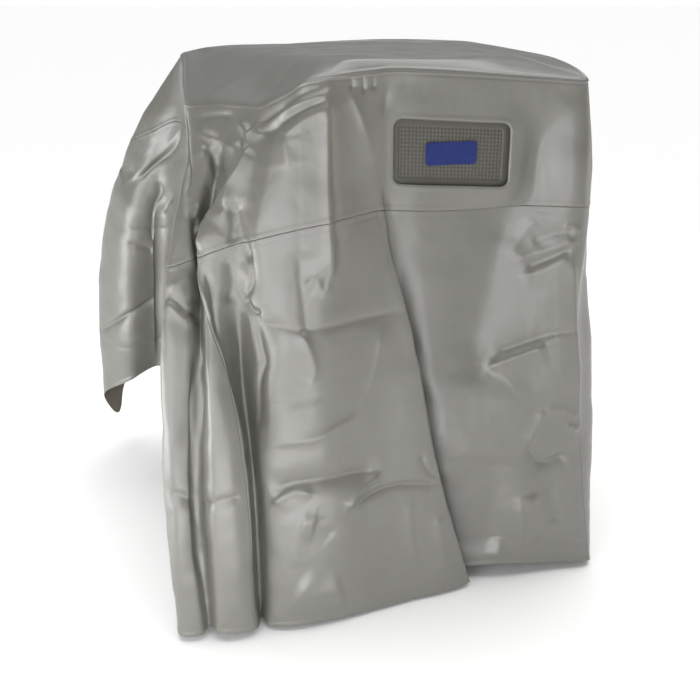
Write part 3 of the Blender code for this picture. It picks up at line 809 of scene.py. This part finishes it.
def node_with(nodes, kind, **values):
    """A new shader node, with some of its inputs set."""
    node = nodes.new("ShaderNode" + kind)
    for name, value in values.items():
        node.inputs[name.replace("_", " ")].default_value = value
    return node


def colour_ramp(nodes, dark, light):
    """A node that turns a share into a colour between two."""
    ramp = nodes.new("ShaderNodeValToRGB")
    ramp.color_ramp.elements[0].color = (*dark, 1)
    ramp.color_ramp.elements[1].color = (*light, 1)
    return ramp


def cloth_material():
    """Semi-gloss coated cloth: a fine grain, soft unevenness and a slightly varying tint and sheen."""
    material = plain_material("coated_cloth", CLOTH_DARK, 0.4)
    nodes, links = material.node_tree.nodes, material.node_tree.links
    shader = nodes["Principled BSDF"]
    shader.inputs["Specular IOR Level"].default_value = 0.75
    shader.inputs["Coat Weight"].default_value = 0.6
    shader.inputs["Coat Roughness"].default_value = 0.34
    place = nodes.new("ShaderNodeTexCoord")
    tint = node_with(nodes, "TexNoise", Scale=9.0, Detail=5.0)
    ramp = colour_ramp(nodes, CLOTH_DARK, CLOTH_LIGHT)
    rough = node_with(nodes, "MapRange", To_Min=0.32, To_Max=0.46)
    grain = node_with(nodes, "TexVoronoi", Scale=700.0)
    soft = node_with(nodes, "TexNoise", Scale=38.0, Detail=4.0)
    add = nodes.new("ShaderNodeMath")
    add.operation = "MULTIPLY_ADD"
    add.inputs[1].default_value = 0.10
    bump = node_with(nodes, "Bump", Strength=0.5, Distance=0.0016)
    for texture in (tint, grain, soft):
        links.new(place.outputs["Object"], texture.inputs["Vector"])
    links.new(tint.outputs["Fac"], ramp.inputs["Fac"])
    links.new(tint.outputs["Fac"], rough.inputs["Value"])
    links.new(ramp.outputs["Color"], shader.inputs["Base Color"])
    links.new(rough.outputs["Result"], shader.inputs["Roughness"])
    links.new(grain.outputs["Distance"], add.inputs[0])
    links.new(soft.outputs["Fac"], add.inputs[2])
    links.new(add.outputs["Value"], bump.inputs["Height"])
    links.new(bump.outputs["Normal"], shader.inputs["Normal"])
    return material


def backing_material():
    """The matt wrong side of the cloth, with its weave."""
    material = plain_material("cloth_backing", (0.13, 0.115, 0.09), 0.9)
    nodes, links = material.node_tree.nodes, material.node_tree.links
    place = nodes.new("ShaderNodeTexCoord")
    weave = node_with(nodes, "TexVoronoi", Scale=500.0)
    bump = node_with(nodes, "Bump", Strength=0.4, Distance=0.001)
    links.new(place.outputs["Object"], weave.inputs["Vector"])
    links.new(weave.outputs["Distance"], bump.inputs["Height"])
    links.new(bump.outputs["Normal"], nodes["Principled BSDF"].inputs["Normal"])
    return material


def moulded_material(name, dark, light, smooth, rough, grain_size, grain_depth):
    """A hard material whose colour and roughness vary softly, with a fine grain."""
    material = plain_material(name, dark, smooth)
    nodes, links = material.node_tree.nodes, material.node_tree.links
    shader = nodes["Principled BSDF"]
    place = nodes.new("ShaderNodeTexCoord")
    cloud = node_with(nodes, "TexNoise", Scale=45.0, Detail=4.0)
    ramp = colour_ramp(nodes, dark, light)
    sheen = node_with(nodes, "MapRange", To_Min=smooth, To_Max=rough)
    grain = node_with(nodes, "TexNoise", Scale=grain_size, Detail=2.0)
    bump = node_with(nodes, "Bump", Strength=0.4, Distance=grain_depth)
    for texture in (cloud, grain):
        links.new(place.outputs["Object"], texture.inputs["Vector"])
    links.new(cloud.outputs["Fac"], ramp.inputs["Fac"])
    links.new(cloud.outputs["Fac"], sheen.inputs["Value"])
    links.new(ramp.outputs["Color"], shader.inputs["Base Color"])
    links.new(sheen.outputs["Result"], shader.inputs["Roughness"])
    links.new(grain.outputs["Fac"], bump.inputs["Height"])
    links.new(bump.outputs["Normal"], shader.inputs["Normal"])
    return material


def plain_material(name, colour, roughness):
    """A material of one colour, to use as it is or to add nodes to."""
    material = bpy.data.materials.new(name)
    material.use_nodes = True
    shader = material.node_tree.nodes["Principled BSDF"]
    shader.inputs["Base Color"].default_value = (*colour, 1)
    shader.inputs["Roughness"].default_value = roughness
    return material


def add_light(light):
    """One of the rectangular studio lights, turned to its target."""
    data = bpy.data.lights.new(light.name, "AREA")
    data.shape = "RECTANGLE"
    data.size, data.size_y = light.size
    data.energy = light.power
    data.color = light.colour
    lamp = bpy.data.objects.new(light.name, data)
    lamp.location = light.place
    way = Vector(light.target) - Vector(light.place)
    lamp.rotation_euler = way.to_track_quat("-Z", "Y").to_euler()
    lamp.visible_camera = False
    bpy.context.scene.collection.objects.link(lamp)


def build_floor():
    """A pale floor that reaches the horizon."""
    level = CAD_BOX[0][2] - FLOOR_GAP
    corners = [(x, y, level) for x, y in ((-1, -1), (1, -1), (1, 1), (-1, 1))]
    corners = [(x * FLOOR_REACH, y * FLOOR_REACH, z) for x, y, z in corners]
    floor = mesh_object("floor", np.array(corners), [(0, 1, 2, 3)], smooth=False)
    floor.data.materials.append(plain_material("floor_paint", (0.93, 0.93, 0.93), 0.9))


def build_sky():
    """A studio that is white at the horizon and grey above, with a broad light overhead."""
    world = bpy.data.worlds.new("studio")
    world.use_nodes = True
    nodes, links = world.node_tree.nodes, world.node_tree.links
    way = nodes.new("ShaderNodeTexCoord")
    split = nodes.new("ShaderNodeSeparateXYZ")
    sky = colour_ramp(nodes, (1.0, 1.0, 1.0), (SKY, SKY, SKY))
    sky.color_ramp.elements[0].position = 0.03
    sky.color_ramp.elements[1].position = 0.12
    links.new(way.outputs["Generated"], split.inputs["Vector"])
    links.new(split.outputs["Z"], sky.inputs["Fac"])
    links.new(sky.outputs["Color"], nodes["Background"].inputs["Color"])
    bpy.context.scene.world = world
    sun = bpy.data.lights.new("overhead", "SUN")
    sun.energy = OVERHEAD_POWER
    sun.angle = math.radians(70)
    lamp = bpy.data.objects.new("overhead", sun)
    lamp.rotation_euler = (math.radians(-10), math.radians(8), 0.0)
    bpy.context.scene.collection.objects.link(lamp)


def build_camera():
    """The camera at the photo's angle."""
    data = bpy.data.cameras.new("camera")
    data.sensor_width = SENSOR_MM
    data.lens = SENSOR_MM * FOCAL_PIXELS / PHOTO_SIZE
    data.clip_end = CAMERA_FAR
    camera = bpy.data.objects.new("camera", data)
    camera.location = CAMERA_PLACE
    camera.rotation_euler = (math.radians(90) - CAMERA_PITCH, 0.0, -CAMERA_TURN)
    bpy.context.scene.collection.objects.link(camera)
    bpy.context.scene.camera = camera
    bpy.context.scene.view_settings.view_transform = "Standard"


def build_cloth():
    """All sewn pieces, each in the place of its solid."""
    cloth = cloth_material()
    backing = backing_material()
    pieces = [(top_object(), "top_panel", FLAT_TOP)]
    for wall in WALLS:
        pieces.append((wall_object(wall, False), "band_" + wall.name, wall.flat_band))
        pieces.append((wall_object(wall, True), "skirt_" + wall.name, wall.flat_skirt))
    for piece, node, flat in pieces:
        piece.data.materials.append(cloth)
        piece.data.materials.append(backing)
        thicken(piece, SKIN)
        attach(piece, "root")
        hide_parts(node)


def build_window():
    """The moulded panel in the window, and the finish of the plate on it."""
    insert = insert_object()
    insert.data.materials.append(moulded_material(
        "window_plastic", (0.056, 0.054, 0.045), (0.074, 0.072, 0.060), 0.42, 0.60, 900.0, 0.0004))
    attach(insert, "root")
    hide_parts("window_insert")
    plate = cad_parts["nameplate"]
    plate.data.materials.clear()
    enamel = moulded_material(
        "nameplate_enamel", (0.011, 0.020, 0.110), (0.013, 0.024, 0.130), 0.22, 0.32, 160.0, 0.0001)
    enamel.node_tree.nodes["Principled BSDF"].inputs["Specular IOR Level"].default_value = 0.25
    plate.data.materials.append(enamel)


def main():
    """The whole scene."""
    build_floor()
    build_sky()
    for light in LIGHTS:
        add_light(Light(*light))
    build_camera()
    build_cloth()
    build_window()


main()
